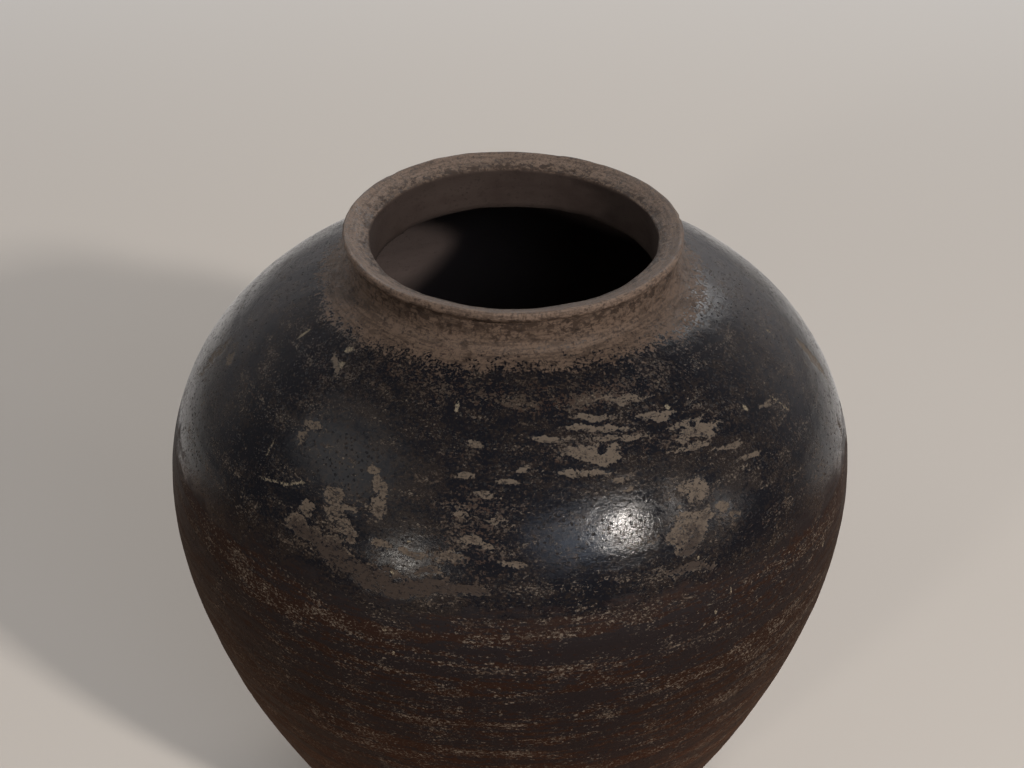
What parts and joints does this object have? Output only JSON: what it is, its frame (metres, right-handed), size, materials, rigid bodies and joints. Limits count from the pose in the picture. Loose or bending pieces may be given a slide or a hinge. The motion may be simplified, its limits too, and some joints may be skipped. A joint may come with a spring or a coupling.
{
  "type": "clay storage jar",
  "caption": "Wide-bellied round clay jar with a low shoulder collar, a flat rolled lip and a narrow flat foot, open at the mouth.",
  "frame": {"origin": "centre of the underside of the foot, on the surface that the jar stands on", "axes": "+Z is the jar's axis, up through the mouth. The jar is round, so X and Y are free; the view that the wear is placed for is from -Y."},
  "size_m": [0.34, 0.34, 0.35],
  "materials": {
    "burnished_black": "satin",
    "red_brown_clay": "satin",
    "bare_clay": "matte"
  },
  "bodies": {
    "root": {"base_disc": "red_brown_clay", "foot_course": "red_brown_clay", "lower_wall_course": "red_brown_clay", "lower_belly_course": "burnished_black", "belly_course": "burnished_black", "upper_belly_course": "burnished_black", "lower_shoulder_course": "burnished_black", "upper_shoulder_course": "burnished_black", "neck_collar": "bare_clay", "rim_coil": "bare_clay"}
  },
  "joints": []
}
